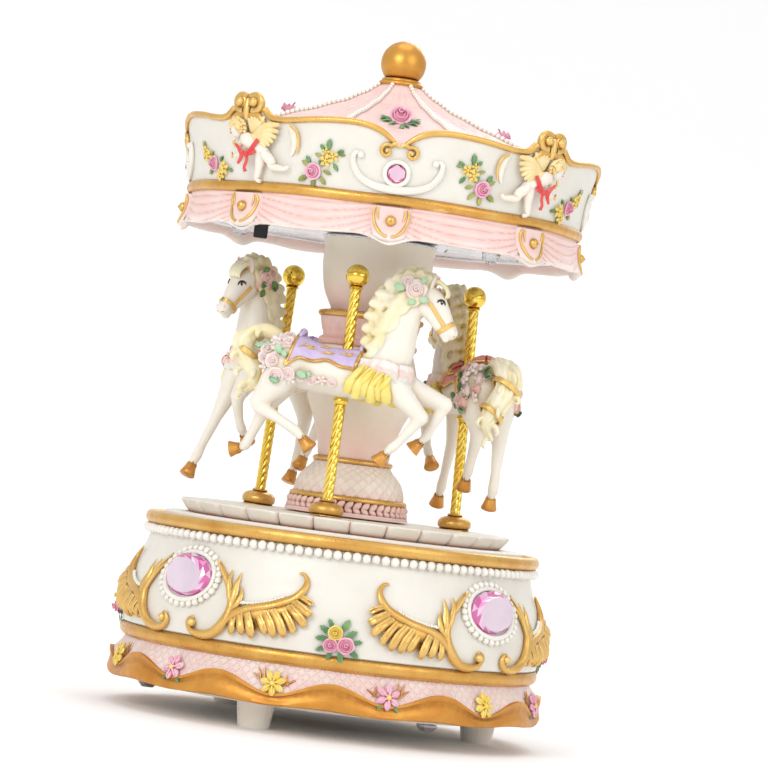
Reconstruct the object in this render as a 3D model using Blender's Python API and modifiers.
"""Wind-up carousel music box: a resin drum with a musical movement inside, which turns a platform,
a baluster column, three horses on twisted poles and a lit canopy.

Metres, +Z up. The origin is on the floor, on the axis that the carousel turns about. Angles round the
axis are measured from the front (-Y) towards the right (+X).
"""

import math

import bmesh
import bpy
from mathutils import Matrix, Vector

MM = 0.001

# Driving dimensions
HEM_R = 57.2 * MM  # widest radius of the base
BASE_TOP = 50.4 * MM  # top of the base's gold rim
TOTAL_H = 181.7 * MM  # top of the finial
WALL = 3.4 * MM  # thickness of the resin walls
GAP = 0.3 * MM  # space kept between fixed pieces that touch
RUN = 0.08 * MM  # radial clearance of the running fits

# Base
COVER_R = 49.2 * MM
COVER_Z = (6.5 * MM, 8.5 * MM)
DISH_R = 15.5 * MM  # recess that the winding key sits in
DISH_TOP = 13.7 * MM
FOOT_RING_R = 42 * MM
FOOT_ANGLES = (-25, 95, 215)
DECK_Z = (44.5 * MM, 47 * MM)
BUSH_R = 4.4 * MM
GEM_Z = 36 * MM

# Carousel
LEDGE_R = 47.4 * MM
PETAL_R = 43.6 * MM
PETALS = 28
PLATFORM_TOP = 54.9 * MM
COLUMN_TOP = 128.6 * MM
COLUMN_BORE_R = 3.2 * MM
LAMP_PLATE_Z = (129.0 * MM, 130.4 * MM)
LAMP_PLATE_R = 47.6 * MM
BAND_R = 52 * MM
FINIAL_R = 6.0 * MM
LED_RING_R = 38.6 * MM
LED_ANGLES = (-74, 46, 166)
SWITCH_XY = (-31.8 * MM, 1.5 * MM)
SWITCH_TRAVEL = 3 * MM

# Poles and horses
POLE_RING_R = 31 * MM
POLE_ANGLES = (-11.5, 108.5, 228.5)
POLE_R = 1.4 * MM
POLE_BALL_R = 3.05 * MM
POLE_BALL_Z = 117.2 * MM
POLE_LEAN = 2.2  # degrees, towards the column
CUP_R = 4.5 * MM
CUP_H = 3.4 * MM

# Musical movement
BEDPLATE_Z = (16 * MM, 18 * MM)
BARREL_R = 13 * MM
BARREL_Z = (19 * MM, 29.5 * MM)
SHAFT_R = 2.2 * MM
ARBOR_R = 2.0 * MM
CROWN_TEETH = 36
CROWN_R = 14.3 * MM  # middle of the crown teeth
CROWN_TIP_Z = 31 * MM
PINION_TEETH = 9
PINION_R = CROWN_R * PINION_TEETH / CROWN_TEETH
DRUM_AXIS_Z = CROWN_TIP_Z - 0.75 * MM + PINION_R
DRUM_R = 6.2 * MM
DRUM_X = (19 * MM, 34 * MM)
DRUM_SHAFT_R = 1.2 * MM
WHEEL_PITCH = 1.4 * MM  # tooth pitch of the governor train
DRUM_WHEEL_TEETH = 30
GOVERNOR_PINION_TEETH = 10
WORM_WHEEL_TEETH = 20
WORM_R = 1.25 * MM
WORM_ROOT_R = 1.05 * MM
WORM_STARTS = 2
TRAIN_X = (37.2 * MM, 38.4 * MM)  # drum wheel and governor pinion
WORM_WHEEL_X = (39.6 * MM, 40.6 * MM)


def pitch_radius(teeth):
    return teeth * WHEEL_PITCH / (2 * math.pi)


GOVERNOR_AXIS_Z = DRUM_AXIS_Z - pitch_radius(DRUM_WHEEL_TEETH) - pitch_radius(GOVERNOR_PINION_TEETH)
WORM_Y = -(pitch_radius(WORM_WHEEL_TEETH) + WORM_R)
WORM_X = sum(WORM_WHEEL_X) / 2


# ---------------------------------------------------------------- helpers


def collection(name):
    made = bpy.data.collections.new(name)
    bpy.context.scene.collection.children.link(made)
    return made


def clear_scene():
    for obj in list(bpy.data.objects):
        bpy.data.objects.remove(obj)


def material(name, colour, roughness, metallic=0.0):
    made = bpy.data.materials.new(name)
    made.use_nodes = True
    shader = made.node_tree.nodes["Principled BSDF"]
    shader.inputs["Base Color"].default_value = (*colour, 1)
    shader.inputs["Roughness"].default_value = roughness
    shader.inputs["Metallic"].default_value = metallic
    return made


def polar(radius, angle_deg, z=0.0):
    """A point at an angle from the front (-Y) towards the right (+X)."""
    a = math.radians(angle_deg)
    return Vector((radius * math.sin(a), -radius * math.cos(a), z))


def place(obj, name, paint, into=None):
    """Names a new object, paints it and files it with the parts, or with the cutters when paint is None."""
    obj.name = name
    obj.data.name = name
    home = into or (PARTS if paint else CUTTERS)
    for other in list(obj.users_collection):
        other.objects.unlink(obj)
    home.objects.link(obj)
    if paint:
        obj.data.materials.clear()
        obj.data.materials.append(paint)
    else:
        obj.hide_render = True
        obj.display_type = "WIRE"
    return obj


def from_bmesh(bm, name, paint):
    mesh = bpy.data.meshes.new(name)
    bm.to_mesh(mesh)
    bm.free()
    obj = bpy.data.objects.new(name, mesh)
    PARTS.objects.link(obj)
    return place(obj, name, paint)


def smooth(obj, angle=35):
    obj.data.shade_smooth()
    obj.data.set_sharp_from_angle(angle=math.radians(angle))
    return obj


def box(name, low, high, paint, bevel=0.0):
    bpy.ops.mesh.primitive_cube_add(size=1)
    obj = bpy.context.object
    size = Vector(high) - Vector(low)
    obj.data.transform(Matrix.Diagonal((*size, 1)))
    obj.location = (Vector(high) + Vector(low)) / 2
    if bevel:
        edge = obj.modifiers.new("bevel", "BEVEL")
        edge.width = bevel
        edge.segments = 1
    return place(obj, name, paint)


def rod(name, radius, start, end, paint, sides=16, end_radius=None):
    """A cylinder, or a cone, from start to end."""
    start, end = Vector(start), Vector(end)
    along = end - start
    bm = bmesh.new()
    bmesh.ops.create_cone(
        bm,
        cap_ends=True,
        segments=sides,
        radius1=radius,
        radius2=radius if end_radius is None else end_radius,
        depth=along.length,
    )
    obj = from_bmesh(bm, name, paint)
    obj.rotation_mode = "QUATERNION"
    obj.rotation_quaternion = Vector((0, 0, 1)).rotation_difference(along.normalized())
    obj.location = (start + end) / 2
    return obj


def turned(name, profile_mm, paint, steps=32, closed=False):
    """A turned piece. The profile is (radius, height) in mm, down the outer side."""
    mesh = bpy.data.meshes.new(name)
    points = [(r * MM, 0, z * MM) for r, z in profile_mm]
    edges = [(i, i + 1) for i in range(len(points) - 1)]
    if closed:
        edges.append((len(points) - 1, 0))
    mesh.from_pydata(points, edges, [])
    obj = bpy.data.objects.new(name, mesh)
    PARTS.objects.link(obj)
    screw = obj.modifiers.new("turn", "SCREW")
    screw.steps = steps
    screw.render_steps = steps
    screw.use_merge_vertices = True
    screw.merge_threshold = 0.00001
    screw.use_smooth_shade = True
    return place(obj, name, paint)


def outline(name, loops, thickness, paint):
    """A flat plate centred on z = 0. The first loop is its edge and the others are holes."""
    curve = bpy.data.curves.new(name, "CURVE")
    curve.dimensions = "2D"
    curve.fill_mode = "BOTH"
    curve.extrude = thickness / 2
    for loop in loops:
        spline = curve.splines.new("POLY")
        spline.points.add(len(loop) - 1)
        for point, (x, y) in zip(spline.points, loop):
            point.co = (x, y, 0, 1)
        spline.use_cyclic_u = True
    obj = bpy.data.objects.new(name, curve)
    PARTS.objects.link(obj)
    return place(obj, name, paint)


def baked(obj):
    """The object with its modifiers applied, as a welded mesh that a Boolean can use."""
    name = obj.name
    paint = obj.data.materials[0] if obj.data.materials else None
    bpy.context.view_layer.update()
    graph = bpy.context.evaluated_depsgraph_get()
    mesh = bpy.data.meshes.new_from_object(obj.evaluated_get(graph))
    bm = bmesh.new()
    bm.from_mesh(mesh)
    bmesh.ops.remove_doubles(bm, verts=bm.verts, dist=0.000002)
    bm.to_mesh(mesh)
    bm.free()
    made = bpy.data.objects.new(name, mesh)
    made.matrix_world = obj.matrix_world
    bpy.data.objects.remove(obj)
    PARTS.objects.link(made)
    return place(made, name, paint)


def boolean(obj, other, operation):
    step = obj.modifiers.new(operation.lower(), "BOOLEAN")
    step.operation = operation
    step.object = other
    place(other, other.name, None)
    return obj


def cut(obj, *others):
    for other in others:
        boolean(obj, other, "DIFFERENCE")
    return obj


def join(obj, *others):
    for other in others:
        boolean(obj, other, "UNION")
    return obj


def circle(radius, count, centre=(0, 0)):
    return [
        (
            centre[0] + radius * math.cos(2 * math.pi * i / count),
            centre[1] + radius * math.sin(2 * math.pi * i / count),
        )
        for i in range(count)
    ]


def tooth_loop(teeth, radius, up, down, tip, root, phase=0.0):
    """Gear outline. Tip and root are the widths of the tooth's top and foot, as shares of the pitch."""
    loop = []
    for i in range(teeth):
        for share, r in (
            (-root / 2, radius - down),
            (-tip / 2, radius + up),
            (tip / 2, radius + up),
            (root / 2, radius - down),
        ):
            a = 2 * math.pi * (i + share + phase) / teeth
            loop.append((r * math.cos(a), r * math.sin(a)))
    return loop


def face_along_x(obj, centre):
    """Turns a flat piece made in XY so that its own Z runs along +X."""
    obj.rotation_euler = (math.pi / 2, 0, math.pi / 2)
    obj.location = centre
    return obj


# ---------------------------------------------------------------- base


def base_shell(paint):
    """The resin drum: gold rim, bombe wall, gold band and flared hem, with a deck under the platform."""
    inner_top = 49.2
    shell = turned(
        "base_shell",
        [
            (inner_top, BASE_TOP / MM),
            (51.8, BASE_TOP / MM),
            (51.8, 47.6),
            (50.6, 46.6),
            (50.6, 43.4),
            (52.2, 38.5),
            (54.2, 32.5),
            (55.0, 26.5),
            (54.2, 21.0),
            (53.4, 17.6),
            (55.2, 14.5),
            (HEM_R / MM, 10.5),
            (55.8, 7.5),
            (50.2, 7.5),
            (49.8, 18.0),
            (51.2, 26.5),
            (48.0, 40.0),
            (46.5, DECK_Z[0] / MM),
            (5.0, DECK_Z[0] / MM),
            (5.0, DECK_Z[1] / MM),
            (inner_top, DECK_Z[1] / MM),
        ],
        paint,
        steps=36,
        closed=True,
    )
    for number, angle in enumerate(COVER_SCREW_ANGLES, 1):
        foot = polar(COVER_SCREW_RING_R, angle, COVER_Z[1] + GAP)
        top = polar(COVER_SCREW_RING_R, angle, 20 * MM)
        join(shell, rod(f"boss_{number}", 3.9 * MM, foot, top, None, 10))
        hole_start = foot - Vector((0, 0, MM))
        hole_end = foot + Vector((0, 0, 7 * MM))
        cut(shell, rod(f"boss_hole_{number}", 1.6 * MM, hole_start, hole_end, None, 8))
    for number, angle in enumerate(GEM_ANGLES, 1):
        seat_in = polar(51.6 * MM, angle, GEM_Z)
        seat_out = polar(60 * MM, angle, GEM_Z)
        seat = rod(f"gem_seat_{number}", 6.1 * MM, seat_in, seat_out, None, 16)
        cut(shell, widened(seat, GEM_OVAL, angle))
    return shell


COVER_SCREW_RING_R = 46.2 * MM
COVER_SCREW_ANGLES = (34, 154, 274)
GEM_ANGLES = (45, 135, 225, 315)
GEM_OVAL = 1.4


def bottom_cover(paint):
    """Moulded cover with a dish for the key, three feet and three posts that carry the movement."""
    low, high = (z / MM for z in COVER_Z)
    dish, skin = DISH_R / MM, 1.5
    cover = turned(
        "bottom_cover",
        [
            (2.8, DISH_TOP / MM + skin),
            (dish + skin, DISH_TOP / MM + skin),
            (dish + skin, high),
            (COVER_R / MM, high),
            (COVER_R / MM, low),
            (dish, low),
            (dish, DISH_TOP / MM),
            (2.8, DISH_TOP / MM),
        ],
        paint,
        steps=28,
        closed=True,
    )
    for number, angle in enumerate(FOOT_ANGLES, 1):
        sole = polar(FOOT_RING_R, angle, 0)
        root = polar(FOOT_RING_R, angle, COVER_Z[0] + MM)
        join(cover, rod(f"foot_{number}", 4.0 * MM, sole, root, None, 20, end_radius=5.1 * MM))
    for number, (x, y) in enumerate(POST_XY, 1):
        foot = (x, y, COVER_Z[0] + MM)
        join(cover, rod(f"post_{number}", 3.2 * MM, foot, (x, y, BEDPLATE_Z[0] - GAP), None, 10))
        cut(cover, rod(f"post_hole_{number}", 1.4 * MM, (x, y, 10 * MM), (x, y, 20 * MM), None, 8))
    for number, angle in enumerate(COVER_SCREW_ANGLES, 1):
        centre = polar(COVER_SCREW_RING_R, angle)
        down, up = centre + Vector((0, 0, 5 * MM)), centre + Vector((0, 0, 10 * MM))
        cut(cover, rod(f"cover_hole_{number}", 1.6 * MM, down, up, None, 8))
    return cover


POST_XY = ((-14 * MM, 15 * MM), (-14 * MM, -15 * MM), (31 * MM, -14 * MM))


def screw(name, head_r, shank_r, head_z, tip_z, centre, paint):
    """A pan-head screw whose head sits at head_z and whose shank ends at tip_z, up or down."""
    way = 1 if tip_z > head_z else -1
    head_h = 0.7 * head_r / MM
    points = [(0, head_h), (0.6 * head_r / MM, head_h), (head_r / MM, 0.35 * head_h), (head_r / MM, 0)]
    length = abs(tip_z - head_z) / MM
    points += [(shank_r / MM, 0), (shank_r / MM, -length + 0.8), (0.3 * shank_r / MM, -length), (0, -length)]
    obj = turned(name, points, paint, steps=10)
    obj.location = (centre[0], centre[1], head_z)
    if way > 0:
        obj.rotation_euler = (math.pi, 0, 0)
    return obj


def widened(obj, factor, angle):
    """Stretches a round piece that will face outwards at an angle, along the drum."""
    out = polar(1, angle)
    obj.data.transform(Matrix.Scale(factor, 4, Vector((-out.y, out.x, 0))))
    return obj


def faceted_gem(name, radius, height, ring_r, angle, z, paint, sides=12):
    """A flat-backed faceted stone set on the outside of a drum."""
    r, h = radius / MM, height / MM
    gem = turned(name, [(0, h), (0.62 * r, h), (r, 0.35 * h), (0.94 * r, 0), (0, 0)], paint, steps=sides)
    out = polar(1, angle)
    gem.rotation_mode = "QUATERNION"
    gem.rotation_quaternion = Vector((0, 0, 1)).rotation_difference(out)
    gem.location = polar(ring_r, angle, z)
    return gem


# ---------------------------------------------------------------- musical movement


def bedplate(paint):
    """Die-cast plate that carries the movement. Its arbor hole is on the carousel's axis."""
    low_x, high_x, half_y, corner = -19 * MM, 43 * MM, 19 * MM, 3 * MM
    edge = []
    for cx, cy, start in (
        (high_x - corner, half_y - corner, 0),
        (low_x + corner, half_y - corner, 90),
        (low_x + corner, -half_y + corner, 180),
        (high_x - corner, -half_y + corner, 270),
    ):
        for turn in (0, 30, 60, 90):
            a = math.radians(start + turn)
            edge.append((cx + corner * math.cos(a), cy + corner * math.sin(a)))
    holes = [circle(2.6 * MM, 16)] + [circle(1.4 * MM, 8, post) for post in POST_XY]
    plate = outline("bedplate", [edge] + holes, BEDPLATE_Z[1] - BEDPLATE_Z[0], paint)
    plate.location.z = sum(BEDPLATE_Z) / 2
    return plate


def spring_barrel(paint):
    """Open-bottomed barrel with a crown wheel on its upper rim and a socket for the drive shaft."""
    barrel = turned(
        "spring_barrel",
        [
            (2.4, 33.5),
            (4.2, 33.5),
            (4.2, BARREL_Z[1] / MM),
            (15.6, BARREL_Z[1] / MM),
            (15.6, 28.1),
            (BARREL_R / MM, 28.1),
            (BARREL_R / MM, BARREL_Z[0] / MM),
            (12.0, BARREL_Z[0] / MM),
            (12.0, 28.1),
            (2.4, 28.1),
        ],
        paint,
        steps=24,
        closed=True,
    )
    bm = bmesh.new()
    tooth_h = CROWN_TIP_Z - BARREL_Z[1] + 0.6 * MM
    for i in range(CROWN_TEETH):
        around = Matrix.Rotation(2 * math.pi * (i + 0.5) / CROWN_TEETH, 4, "Z")
        shape = Matrix.Diagonal((2.2 * MM, 0.95 * MM, tooth_h, 1))
        shift = Matrix.Translation((CROWN_R, 0, CROWN_TIP_Z - tooth_h / 2))
        made = bmesh.ops.create_cube(bm, size=1, matrix=around @ shift @ shape)["verts"]
        for vertex in made:
            if vertex.co.z > CROWN_TIP_Z - MM * 0.01:
                narrow = around @ Vector((0, 1, 0))
                side = vertex.co.dot(narrow)
                vertex.co -= narrow * side * 0.45
    return join(barrel, from_bmesh(bm, "crown_teeth", None))


def mainspring(paint):
    """Flat spring wound in a spiral between the arbor and the barrel's wall."""
    turns, first, last, strip = 3.5, 4.4 * MM, 11.2 * MM, 0.5 * MM
    count = int(turns * 12)
    outer, inner = [], []
    for i in range(count + 1):
        a = 2 * math.pi * turns * i / count
        r = first + (last - first) * i / count
        outer.append(((r + strip / 2) * math.cos(a), (r + strip / 2) * math.sin(a)))
        inner.append(((r - strip / 2) * math.cos(a), (r - strip / 2) * math.sin(a)))
    spring = outline("mainspring", [outer + inner[::-1]], 6.4 * MM, paint)
    spring.location.z = 24 * MM
    return spring


def winding_arbor(paint):
    """Arbor that the mainspring hooks on: the key screws on its lower end."""
    low, mid = DISH_TOP / MM - 4.7, BARREL_Z[0] / MM + 1.6
    return turned(
        "winding_arbor",
        [(0, 27.6), (3.4, 27.6), (3.4, mid), (ARBOR_R / MM, mid), (ARBOR_R / MM, low), (0, low)],
        paint,
        steps=16,
    )


def winding_key(paint):
    """Butterfly key: a hub with two rounded wings, in the dish of the cover."""
    top, hub_low = DISH_TOP - 0.6 * MM, 6.6 * MM
    wing_low, wing_half = 3.4 * MM, 11.5 * MM
    mid_z, half_h = (top - 1.2 * MM + wing_low) / 2, (top - 1.2 * MM - wing_low) / 2
    edge = []
    for side, start in ((1, -90), (-1, 90)):
        for turn in range(0, 181, 30):
            a = math.radians(start + turn)
            x = side * (wing_half - half_h) + half_h * math.cos(a)
            edge.append((x, half_h * math.sin(a)))
    wings = baked(outline("key_wings", [edge], 1.8 * MM, None))
    wings.rotation_euler = (math.pi / 2, 0, 0)
    wings.location.z = mid_z
    key = rod("winding_key", 3.4 * MM, (0, 0, hub_low), (0, 0, top), paint, 14)
    join(key, wings)
    socket = rod("key_socket", ARBOR_R + GAP, (0, 0, DISH_TOP - 5.1 * MM), (0, 0, 20 * MM), None, 12)
    return cut(key, socket)


def drum_train(steel, brass):
    """The pinned drum with its shaft, pinion and wheel, along +X."""
    shaft = rod(
        "drum_shaft",
        DRUM_SHAFT_R,
        (12.4 * MM, 0, DRUM_AXIS_Z),
        (TRAIN_X[1] + 0.5 * MM, 0, DRUM_AXIS_Z),
        steel,
        12,
    )
    pinion = tooth_loop(PINION_TEETH, PINION_R, 0.5 * MM, 0.9 * MM, 0.16, 0.36, phase=0.75)
    teeth = baked(outline("drum_pinion", [pinion], 2.6 * MM, None))
    join(shaft, face_along_x(teeth, (CROWN_R, 0, DRUM_AXIS_Z)))
    bore = circle(DRUM_SHAFT_R + GAP, 12)

    drum = outline("music_drum", [circle(DRUM_R, 24), bore], DRUM_X[1] - DRUM_X[0], brass)
    drum = baked(drum)
    bm = bmesh.new()
    pins = 28
    for i in range(pins):
        x = (i * 7 % 17 - 8) * 0.83 * MM
        a = 2 * math.pi * i / pins
        out = Matrix.Rotation(a, 4, "Z") @ Matrix.Translation((DRUM_R, 0, x))
        stud = out @ Matrix.Rotation(math.pi / 2, 4, "Y")
        bmesh.ops.create_cone(
            bm, cap_ends=True, segments=5, radius1=0.28 * MM, radius2=0.28 * MM, depth=1.2 * MM, matrix=stud
        )
    join(drum, from_bmesh(bm, "drum_pins", None))
    bpy.data.objects["drum_pins"].parent = drum
    face_along_x(drum, (sum(DRUM_X) / 2, 0, DRUM_AXIS_Z))

    teeth = tooth_loop(DRUM_WHEEL_TEETH, pitch_radius(DRUM_WHEEL_TEETH), 0.35 * MM, 0.55 * MM, 0.18, 0.38)
    wheel = outline("drum_wheel", [teeth, bore], TRAIN_X[1] - TRAIN_X[0], brass)
    face_along_x(wheel, (sum(TRAIN_X) / 2, 0, DRUM_AXIS_Z))


def drum_bracket(paint):
    """U-shaped bracket whose two ears carry the drum shaft."""
    ear_x = ((16.5 * MM, 17.7 * MM), (35 * MM, 36.2 * MM))
    foot_top, half = BEDPLATE_Z[1] + GAP + 1.2 * MM, 3.4 * MM
    foot_low = (ear_x[0][0], -half, BEDPLATE_Z[1] + GAP)
    bracket = box("drum_bracket", foot_low, (ear_x[1][1], half, foot_top), paint)
    for number, (low_x, high_x) in enumerate(ear_x, 1):
        low = (low_x, -half, foot_top - 0.5 * MM)
        high = (high_x, half, DRUM_AXIS_Z + 3 * MM)
        join(bracket, box(f"ear_{number}", low, high, None))
    start, end = (10 * MM, 0, DRUM_AXIS_Z), (45 * MM, 0, DRUM_AXIS_Z)
    cut(bracket, rod("drum_bearing", DRUM_SHAFT_R + RUN, start, end, None, 12))
    start, end = (30 * MM, 0, GOVERNOR_AXIS_Z), (45 * MM, 0, GOVERNOR_AXIS_Z)
    return cut(bracket, rod("governor_bearing", 0.8 * MM + RUN, start, end, None, 10))


def comb(steel, brass):
    """Tuned steel comb on its block. Its tips stop just short of the drum's pins."""
    tip_y, root_y, back_y = DRUM_R + 0.95 * MM, 15 * MM, 21.5 * MM
    low_x, pitch, teeth = 19.4 * MM, 0.83 * MM, 17
    edge = [(low_x, back_y), (low_x, tip_y)]
    for i in range(teeth):
        x = low_x + i * pitch
        inner_y = root_y - 0.12 * MM * i
        if i:
            edge += [(x, inner_y), (x, tip_y)]
        edge.append((x + pitch * 0.6, tip_y))
        if i < teeth - 1:
            edge.append((x + pitch * 0.6, inner_y))
    high_x = edge[-1][0]
    edge += [(high_x, back_y)]
    screws = [(x, 18.2 * MM) for x in (22.5 * MM, 30.5 * MM)]
    plate = outline("comb", [edge] + [circle(1.4 * MM, 8, s) for s in screws], 1.0 * MM, steel)
    plate.location.z = DRUM_AXIS_Z
    block_top = DRUM_AXIS_Z - 0.5 * MM - GAP
    low = (low_x, 15.4 * MM, BEDPLATE_Z[1] + GAP)
    block = box("comb_block", low, (high_x, back_y, block_top), brass)
    for number, (x, y) in enumerate(screws, 1):
        hole = rod(f"comb_hole_{number}", 1.4 * MM, (x, y, block_top - 5 * MM), (x, y, block_top + MM), None, 8)
        cut(block, hole)
        head_z = DRUM_AXIS_Z + 0.5 * MM + GAP
        screw(f"comb_screw_{number}", 2.4 * MM, 1.1 * MM, head_z, block_top - 4 * MM, (x, y), steel)


def governor(brass, steel, paint):
    """Speed governor: a pinion and worm wheel on one arbor, driving an upright worm with an air brake."""
    axis = GOVERNOR_AXIS_Z
    arbor = rod("governor_wheel", 0.8 * MM, (34.6 * MM, 0, axis), (43.8 * MM, 0, axis), brass, 10)
    pinion = tooth_loop(
        GOVERNOR_PINION_TEETH, pitch_radius(GOVERNOR_PINION_TEETH), 0.35 * MM, 0.6 * MM, 0.18, 0.38, phase=0.5
    )
    made = baked(outline("governor_pinion", [pinion], TRAIN_X[1] - TRAIN_X[0], None))
    join(arbor, face_along_x(made, (sum(TRAIN_X) / 2, 0, axis)))
    wheel = tooth_loop(WORM_WHEEL_TEETH, pitch_radius(WORM_WHEEL_TEETH), 0.3 * MM, 0.6 * MM, 0.14, 0.34)
    made = baked(outline("worm_wheel", [wheel], WORM_WHEEL_X[1] - WORM_WHEEL_X[0], None))
    join(arbor, face_along_x(made, (WORM_X, 0, axis)))

    half_worm = 3.2 * MM
    worm = rod("governor_worm", 0.95 * MM, (WORM_X, WORM_Y, 19.7 * MM), (WORM_X, WORM_Y, 43.2 * MM), steel, 12)
    for start in range(WORM_STARTS):
        helix = bpy.data.curves.new("worm_thread", "CURVE")
        helix.dimensions = "3D"
        helix.bevel_depth = 0.28 * MM
        helix.bevel_resolution = 1
        helix.use_fill_caps = True
        spline = helix.splines.new("POLY")
        lead = WORM_STARTS * WHEEL_PITCH
        count = int(2 * half_worm / lead * 10)
        spline.points.add(count)
        for i, point in enumerate(spline.points):
            z = -half_worm + i * 2 * half_worm / count
            a = 2 * math.pi * (z / lead + start / WORM_STARTS)
            point.co = (WORM_ROOT_R * math.cos(a), WORM_ROOT_R * math.sin(a), z, 1)
        thread = bpy.data.objects.new(f"worm_thread_{start}", helix)
        PARTS.objects.link(thread)
        thread.location = (WORM_X, WORM_Y, axis)
        join(worm, baked(thread))
    blade_low = (WORM_X - 4.2 * MM, WORM_Y - 0.4 * MM, 41.4 * MM)
    blade_high = (WORM_X + 4.2 * MM, WORM_Y + 0.4 * MM, 43.6 * MM)
    join(worm, box("air_brake", blade_low, blade_high, None))

    low_z = BEDPLATE_Z[1] + GAP
    frame = box("governor_frame", (38.6 * MM, -11 * MM, low_z), (45.2 * MM, 3 * MM, low_z + 1.2 * MM), paint)
    join(frame, box("frame_wall", (42.2 * MM, -2.5 * MM, low_z + 0.6 * MM), (43.2 * MM, 2.5 * MM, 30 * MM), None))
    post_low, post_high = (39.2 * MM, -11 * MM, low_z + 0.6 * MM), (41.6 * MM, -9.6 * MM, 29 * MM)
    join(frame, box("frame_post", post_low, post_high, None))
    arm_low, arm_high = (39.2 * MM, -10.4 * MM, 28.7 * MM), (41.6 * MM, -3.9 * MM, 29.9 * MM)
    join(frame, box("frame_arm", arm_low, arm_high, None))
    axis_start, axis_end = (41 * MM, 0, axis), (46 * MM, 0, axis)
    cut(frame, rod("wheel_pivot", 0.8 * MM + RUN, axis_start, axis_end, None, 10))
    worm_start, worm_end = (WORM_X, WORM_Y, 19.2 * MM), (WORM_X, WORM_Y, 40 * MM)
    cut(frame, rod("worm_pivot", 0.95 * MM + RUN, worm_start, worm_end, None, 12))


# ---------------------------------------------------------------- carousel


def turntable(paint):
    """Platform: a round ledge under a disc of scalloped petals, with a hub that takes the drive shaft."""
    count = PETALS * 4
    petals = []
    for i in range(count):
        lobe = abs(math.sin(math.pi * i * PETALS / count))
        r = PETAL_R - 1.1 * MM * (1 - lobe)
        petals.append((r * math.sin(2 * math.pi * i / count), -r * math.cos(2 * math.pi * i / count)))
    ledge_z = 51.4 * MM
    low = 49.4 * MM
    disc = turned(
        "turntable",
        [
            (0, ledge_z / MM),
            (LEDGE_R / MM, ledge_z / MM),
            (LEDGE_R / MM, low / MM),
            (6, low / MM),
            (6, low / MM - 1.4),
            (0, low / MM - 1.4),
        ],
        paint,
        steps=32,
    )
    made = baked(outline("petals", [petals], PLATFORM_TOP - ledge_z + 0.5 * MM, None))
    made.location.z = (PLATFORM_TOP + ledge_z - 0.5 * MM) / 2
    join(disc, made)
    return cut(disc, rod("hub_hole", SHAFT_R + GAP, (0, 0, 40 * MM), (0, 0, 60 * MM), None, 14))


def column(paint):
    """Baluster: braid ring, lattice dome, lower vase, collar and upper vase, bored for the tie rod."""
    bore = COLUMN_BORE_R / MM
    low = PLATFORM_TOP / MM + GAP / MM
    profile = [
        (bore, COLUMN_TOP / MM),
        (14.4, COLUMN_TOP / MM),
        (14.6, 120.7),
        (13.3, 113.7),
        (10.8, 108.7),
        (13.7, 108.2),
        (13.5, 103.0),
        (12.5, 98.5),
        (14.4, 88.0),
        (12.0, 80.0),
        (9.5, 71.0),
        (10.3, 69.7),
        (13.2, 64.7),
        (15.3, 60.0),
        (16.0, 57.4),
        (15.6, low),
        (bore, low),
    ]
    return turned("column", profile, paint, steps=24, closed=True)


def rim_height(angle):
    """Height of the canopy's wavy top edge: it dips in front of each crystal and peaks between them."""
    away = abs((math.degrees(angle) + 45) % 90 - 45)  # from the nearest dip, in degrees
    swell = 153.6 - 4.6 * math.exp(-((away / 6.5) ** 2)) - 0.025 * max(0, away - 16)
    peak = 5.2 * math.exp(-(((away - 45) / 5.0) ** 4))
    return (swell + peak) * MM


def canopy_shell(paint):
    """Resin canopy: tent roof, flared cornice with a wavy gold edge, gold band and swagged valance."""
    rim = 153.0
    shell = turned(
        "canopy_shell",
        [
            (2.0, 170.0),
            (5.4, 169.8),
            (14.0, 165.0),
            (27.0, 158.6),
            (50.6, 151.2),
            (52.2, rim),
            (54.6, rim),
            (52.4, 142.0),
            (51.6, 137.5),
            (BAND_R / MM + 0.2, 136.0),
            (51.2, 134.4),
            (52.2, 125.2),
            (49.8, 125.0),
            (48.4, 130.4),
            (47.6, 146.6),
            (26.0, 155.0),
            (2.0, 166.0),
        ],
        paint,
        steps=40,
        closed=True,
    )
    shell = baked(shell)
    for vertex in shell.data.vertices:
        x, y, z = vertex.co
        angle = math.atan2(x, -y)
        if abs(z - rim * MM) < 0.01 * MM:
            vertex.co.z = rim_height(angle)
        elif z < 126 * MM:
            lobe = 0.5 + 0.5 * math.cos(8 * angle)
            vertex.co.z += (-0.5 * lobe + 0.5 * (1 - lobe)) * MM
    for number, angle in enumerate(CRYSTAL_ANGLES, 1):
        start, end = polar(52.0 * MM, angle, CRYSTAL_Z), polar(58 * MM, angle, CRYSTAL_Z)
        cut(shell, rod(f"crystal_seat_{number}", 2.9 * MM, start, end, None, 10))
    return shell


CRYSTAL_ANGLES = (0, 90, 180, 270)
CRYSTAL_Z = 142.5 * MM


def finial(paint):
    """Gold ball on a moulded collar, with a spigot that drops into the roof."""
    centre = TOTAL_H / MM - FINIAL_R / MM
    ball = FINIAL_R / MM
    points = [(0, centre + ball)]
    for step in range(1, 6):
        a = math.radians(90 - step * 27)
        points.append((ball * math.cos(a), centre + ball * math.sin(a)))
    collar_low = 170.3
    points += [(4.4, 170.9), (5.8, 170.9), (5.8, collar_low), (1.6, collar_low), (1.6, 167.0), (0, 167.0)]
    return turned("finial", points, paint, steps=20)


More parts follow.
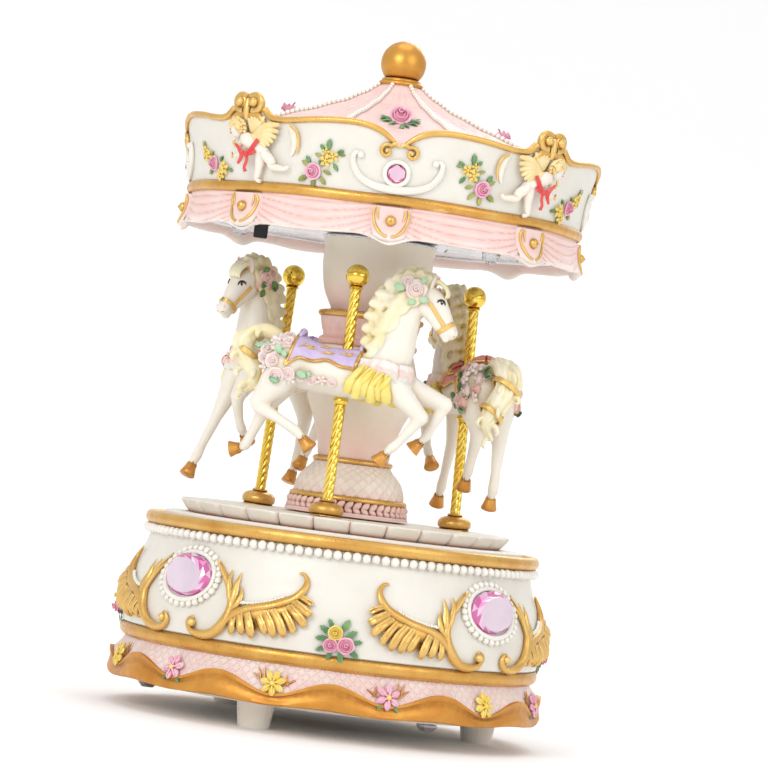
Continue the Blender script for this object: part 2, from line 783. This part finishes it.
def lamp_plate(paint):
    """Silvered plate that closes the canopy, with holes for the lamps, the switch, the rod and the battery door."""
    holes = [circle(3.0 * MM, 12)]
    holes += [circle(2.8 * MM, 12, polar(LED_RING_R, angle)[:2]) for angle in LED_ANGLES]
    sx, sy = SWITCH_XY
    half_x, low_y, high_y = 2.2 * MM, sy - 2.2 * MM, sy + SWITCH_TRAVEL + 2.2 * MM
    holes.append([(sx - half_x, low_y), (sx + half_x, low_y), (sx + half_x, high_y), (sx - half_x, high_y)])
    (x0, y0), (x1, y1) = DOOR_XY
    holes.append([(x0, y0), (x1, y0), (x1, y1), (x0, y1)])
    plate = outline("lamp_plate", [circle(LAMP_PLATE_R, 40)] + holes, LAMP_PLATE_Z[1] - LAMP_PLATE_Z[0], paint)
    plate.location.z = sum(LAMP_PLATE_Z) / 2
    return plate


DOOR_XY = ((18 * MM, 8 * MM), (38 * MM, 23 * MM))


def lamps(paint):
    for number, angle in enumerate(LED_ANGLES, 1):
        top, flange, dome_low = LAMP_PLATE_Z[1] + 1.6 * MM, LAMP_PLATE_Z[1] + GAP, 124.6
        points = [(0, top / MM), (3.2, top / MM), (3.2, flange / MM), (2.45, flange / MM), (2.45, dome_low + 2.2)]
        points += [(2.1, dome_low + 0.9), (1.2, dome_low + 0.2), (0, dome_low)]
        led = turned(f"led_{number}", points, paint, steps=12)
        led.location = polar(LED_RING_R, angle)


def switch_parts(case, black):
    sx, sy = SWITCH_XY
    low_z = LAMP_PLATE_Z[1] + GAP
    low = (sx - 3.6 * MM, sy - 3.6 * MM, low_z)
    high = (sx + 3.6 * MM, sy + SWITCH_TRAVEL + 3.6 * MM, low_z + 5 * MM)
    body = box("switch_body", low, high, case, bevel=0.3 * MM)
    slot_low = (sx - 2.2 * MM, sy - 2.2 * MM, low_z - MM)
    slot_high = (sx + 2.2 * MM, sy + SWITCH_TRAVEL + 2.2 * MM, low_z + 3 * MM)
    cut(body, box("switch_slot", slot_low, slot_high, None))
    half = 1.85 * MM
    knob_low, knob_high = (sx - half, sy - half, 125.2 * MM), (sx + half, sy + half, low_z + 2.6 * MM)
    box("switch_knob", knob_low, knob_high, black, bevel=0.3 * MM)


def battery_pack(holder_paint, cell_paint, door_paint):
    """Tray for three button cells over the door in the lamp plate."""
    (x0, y0), (x1, y1) = DOOR_XY
    wall = 1.2 * MM
    low_z, high_z = LAMP_PLATE_Z[1] + GAP, LAMP_PLATE_Z[1] + 15 * MM
    mid_x, mid_y = (x0 + x1) / 2, (y0 + y1) / 2
    low = (x0 - wall, y0 - wall, low_z)
    holder = box("battery_holder", low, (x1 + wall, y1 + wall, high_z), holder_paint)
    inside_low, inside_high = (x0, y0, low_z - MM), (x1, y1, high_z - wall)
    cut(holder, box("tray_room", inside_low, inside_high, None))
    for number in (1, 2, 3):
        start = (mid_x + (number - 2) * 6 * MM - 2.7 * MM, mid_y, low_z + 6.6 * MM)
        end = (start[0] + 5.4 * MM, mid_y, start[2])
        rod(f"button_cell_{number}", 5.8 * MM, start, end, cell_paint, 16)
    fit = 0.35 * MM
    door_low = (x0 + fit, y0 + fit, LAMP_PLATE_Z[0])
    box("battery_door", door_low, (x1 - fit, y1 - fit, LAMP_PLATE_Z[1]), door_paint)


# ---------------------------------------------------------------- poles and horses


def pole_profile(sides=8):
    return [
        (
            POLE_R * (1.0 if i % 2 == 0 else 0.8) * math.cos(2 * math.pi * i / sides),
            POLE_R * (1.0 if i % 2 == 0 else 0.8) * math.sin(2 * math.pi * i / sides),
        )
        for i in range(sides)
    ]


def twisted_pole(name, paint, seat):
    """Twisted rope-pattern tube that ends in a ball. It stands in its cup, on the seat empty."""
    low, high = 0.8 * MM, POLE_BALL_Z - PLATFORM_TOP - 2.0 * MM
    bar = outline(name, [pole_profile()], high - low, paint)
    bar = baked(bar)
    bm = bmesh.new()
    bm.from_mesh(bar.data)
    sections = 10
    for i in range(1, sections):
        z = -(high - low) / 2 + (high - low) * i / sections
        everything = bm.verts[:] + bm.edges[:] + bm.faces[:]
        bmesh.ops.bisect_plane(bm, geom=everything, plane_co=(0, 0, z), plane_no=(0, 0, 1), dist=1e-7)
    bm.to_mesh(bar.data)
    bm.free()
    twist = bar.modifiers.new("twist", "SIMPLE_DEFORM")
    twist.deform_method = "TWIST"
    twist.deform_axis = "Z"
    twist.angle = math.radians(-sections * 40)
    bpy.ops.mesh.primitive_uv_sphere_add(segments=14, ring_count=8, radius=POLE_BALL_R)
    ball = place(bpy.context.object, f"{name}_ball", None)
    ball.location.z = POLE_BALL_Z - PLATFORM_TOP
    ball.parent = seat
    join(bar, ball)
    bar.location.z = (low + high) / 2
    bar.parent = seat
    return bar


def pole_cup(name, paint, seat):
    r, h = CUP_R / MM, CUP_H / MM
    bore = POLE_R / MM + 0.25
    profile = [(bore, h), (2.4, h), (2.9, 0.8 * h), (3.9, 0.62 * h), (r, 0.3 * h), (0.94 * r, 0.3), (bore, 0.3)]
    cup = turned(name, profile, paint, steps=16, closed=True)
    cup.parent = seat
    return cup


# Joints of a horse in mm: forward of the pole, out from the column, above the platform, and radius.
BODY = [(11.5, 0, 37.5, 6.0), (0, 0, 37.6, 6.4), (-13.5, 0, 38.6, 6.6)]
RUMP = [(-14, -1.6, 39, 5.8), (-14, 1.6, 39, 5.8)]
NECK = [(10, 0, 39, 6.2), (12.6, 0, 47, 5.3), (14.2, 0, 56, 4.2), (16.6, 0, 60.5, 3.7)]
HEAD = [(15.6, 0, 59, 3.8), (18.6, 0, 59.5, 3.6), (22.5, 0, 55.5, 2.6), (26.4, 0, 51.3, 2.3)]
MANE = [(15, 0, 64, 1.8), (9.5, 0, 61.5, 2.0), (7.2, 0, 55, 2.0), (6.8, 0, 46, 1.8)]
TAIL = [(-19, 0, 45, 2.4), (-24.6, 0, 44, 2.8), (-25.6, 0, 38, 3.0), (-22.4, 0, 32, 2.8), (-20.6, 0, 29.4, 1.8)]
SADDLE = [(-9.5, 0, 40.4, 5.6), (3.5, 0, 40.2, 5.6)]

# Each leg: where it starts on the body, then its joints down to the hoof. Outer legs come first.
PRANCE_LEGS = [
    [(12, 2.6, 35.4, 4.2), (21.8, 3.2, 28, 2.3), (15.2, 3.2, 19.2, 1.5), (13, 3.2, 17, 1.9)],
    [(13, -2.6, 35.4, 4.2), (26, -3.2, 32, 2.5), (22.6, -3.2, 25, 1.6), (20.2, -3.2, 21.6, 1.7)],
    [(-16, 2.6, 35, 5.2), (-20.6, 3.4, 27.6, 2.9), (-9, 3.4, 20.6, 1.6), (-6.2, 3.4, 17.6, 1.9)],
    [(-16, -2.6, 35, 5.2), (-19.4, -3.2, 26, 2.8), (-21.5, -3.2, 17, 1.7), (-27, -3.2, 15.6, 1.9)],
]
STRIDE_LEGS = [
    [(12, 2.6, 35, 4.2), (14.8, 3.6, 25, 2.2), (22.6, 4.2, 10, 1.6), (24.4, 4.2, 6.8, 2.1)],
    [(12, -2.6, 35, 4.2), (17.6, -3.2, 29, 2.4), (15.6, -3.2, 20, 1.6), (12.6, -3.2, 17.6, 1.7)],
    [(-15, 2.6, 35, 5.2), (-16.6, 3.0, 25, 2.8), (-17.6, 3.0, 13, 1.7), (-15.6, 3.0, 8.6, 2.1)],
    [(-15, -2.6, 35, 5.2), (-17.4, -2.6, 27, 2.8), (-13.6, -2.6, 16.6, 1.7), (-11.6, -2.6, 12.4, 2.1)],
]


def add_limb(bm, joints):
    """A chain of tapered capsules through the joints."""
    points = [(Vector((u, -v, w)) * MM, r * MM) for u, v, w, r in joints]
    for point, radius in points:
        bmesh.ops.create_uvsphere(
            bm, u_segments=14, v_segments=8, radius=radius, matrix=Matrix.Translation(point)
        )
    for (start, r0), (end, r1) in zip(points, points[1:]):
        along = end - start
        turn = Vector((0, 0, 1)).rotation_difference(along.normalized()).to_matrix().to_4x4()
        where = Matrix.Translation((start + end) / 2) @ turn
        bmesh.ops.create_cone(
            bm, cap_ends=True, segments=14, radius1=r0, radius2=r1, depth=along.length, matrix=where
        )


def horse(name, legs, paint, seat):
    """One cast horse: capsules fused by a voxel remesh, thinned out, and bored for its pole."""
    bm = bmesh.new()
    for joints in [BODY, RUMP, NECK, HEAD, MANE, TAIL, SADDLE] + legs:
        add_limb(bm, joints)
    obj = from_bmesh(bm, name, paint)
    fuse = obj.modifiers.new("fuse", "REMESH")
    fuse.mode = "VOXEL"
    fuse.voxel_size = 0.7 * MM
    soften = obj.modifiers.new("soften", "SMOOTH")
    soften.iterations = 2
    thin = obj.modifiers.new("thin", "DECIMATE")
    thin.ratio = 0.042
    obj = smooth(baked(obj), 60)
    start, end = (0, 0, 10 * MM), (0, 0, 60 * MM)
    bore = rod(f"{name}_bore", POLE_R + 0.35 * MM, start, end, None, 10)
    bore.parent = seat
    cut(obj, bore)
    obj.parent = seat
    return obj


def pole_seat(number, angle):
    """Empty on the platform where a pole stands: X is the way the horse faces, and Z leans inward."""
    empty = bpy.data.objects.new(f"pole_seat_{number}", None)
    PARTS.objects.link(empty)
    heading = Matrix.Rotation(math.radians(angle), 4, "Z")
    lean = Matrix.Rotation(math.radians(-POLE_LEAN), 4, "X")
    empty.matrix_world = Matrix.Translation(polar(POLE_RING_R, angle, PLATFORM_TOP)) @ heading @ lean
    return empty


# ---------------------------------------------------------------- assembly


def build():
    resin = material("ivory_resin", (0.93, 0.9, 0.86), 0.45)
    pink = material("pink_resin", (0.93, 0.74, 0.7), 0.5)
    gold = material("gold_paint", (0.72, 0.43, 0.12), 0.35, 0.8)
    plated = material("gold_plate", (0.95, 0.68, 0.2), 0.15, 1.0)
    abs_white = material("white_plastic", (0.86, 0.83, 0.78), 0.4)
    brass = material("brass", (0.78, 0.6, 0.28), 0.3, 1.0)
    steel = material("steel", (0.6, 0.6, 0.6), 0.3, 1.0)
    zinc = material("die_cast_zinc", (0.55, 0.55, 0.55), 0.45, 0.9)
    pink_stone = material("pink_stone", (0.86, 0.5, 0.78), 0.05)
    silvered = material("silvered_plastic", (0.85, 0.85, 0.87), 0.15, 0.8)
    clear = material("clear_lens", (0.92, 0.94, 0.95), 0.05)
    black = material("black_plastic", (0.02, 0.02, 0.02), 0.4)

    base_shell(resin)
    bottom_cover(abs_white)
    deck_z = (DECK_Z[0] / MM - 1, DECK_Z[1] / MM + 0.6)
    bore, outer, lip = (SHAFT_R + RUN) / MM, BUSH_R / MM, 6.0
    bush = [
        (bore, deck_z[1]),
        (lip, deck_z[1]),
        (lip, DECK_Z[1] / MM + 0.3),
        (outer, DECK_Z[1] / MM + 0.3),
        (outer, deck_z[0]),
        (bore, deck_z[0]),
    ]
    turned("deck_bush", bush, brass, steps=18, closed=True)
    for number, angle in enumerate(COVER_SCREW_ANGLES, 1):
        centre = polar(COVER_SCREW_RING_R, angle)
        screw(f"cover_screw_{number}", 2.6 * MM, 1.3 * MM, COVER_Z[0] - GAP, 14 * MM, centre, steel)
    for number, angle in enumerate(GEM_ANGLES, 1):
        gem = faceted_gem(f"base_gem_{number}", 5.8 * MM, 3.6 * MM, 51.9 * MM, angle, GEM_Z, pink_stone)
        widened(baked(gem), GEM_OVAL, angle)

    bedplate(zinc)
    for number, (x, y) in enumerate(POST_XY, 1):
        screw(f"movement_screw_{number}", 2.4 * MM, 1.1 * MM, BEDPLATE_Z[1] + GAP, 11 * MM, (x, y), steel)
    spring_barrel(brass)
    cover = [(ARBOR_R / MM + 0.3, 20.2), (11.7, 20.2), (11.7, 19.3), (ARBOR_R / MM + 0.3, 19.3)]
    turned("barrel_cover", cover, brass, steps=24, closed=True)
    mainspring(steel)
    winding_arbor(steel)
    winding_key(plated)
    drum_train(steel, brass)
    drum_bracket(zinc)
    comb(steel, zinc)
    governor(brass, steel, zinc)

    rod("drive_shaft", SHAFT_R, (0, 0, 28.6 * MM), (0, 0, PLATFORM_TOP - 0.6 * MM), steel, 14)
    turntable(pink)
    column(resin)
    rod("tie_rod", 2.4 * MM, (0, 0, PLATFORM_TOP + GAP), (0, 0, 165.5 * MM), steel, 10)
    canopy_shell(resin)
    finial(gold)
    for number, angle in enumerate(CRYSTAL_ANGLES, 1):
        faceted_gem(f"canopy_gem_{number}", 2.6 * MM, 1.6 * MM, 52.3 * MM, angle, CRYSTAL_Z, pink_stone, 10)
    lamp_plate(silvered)
    lamps(clear)
    switch_parts(abs_white, black)
    battery_pack(abs_white, steel, silvered)

    poses = (PRANCE_LEGS, STRIDE_LEGS, STRIDE_LEGS)
    for number, (angle, legs) in enumerate(zip(POLE_ANGLES, poses), 1):
        seat = pole_seat(number, angle)
        pole_cup(f"pole_cup_{number}", gold, seat)
        twisted_pole(f"pole_{number}", plated, seat)
        horse(f"horse_{number}", legs, resin, seat)


clear_scene()
PARTS = collection("carousel_music_box")
CUTTERS = collection("cutters")
build()
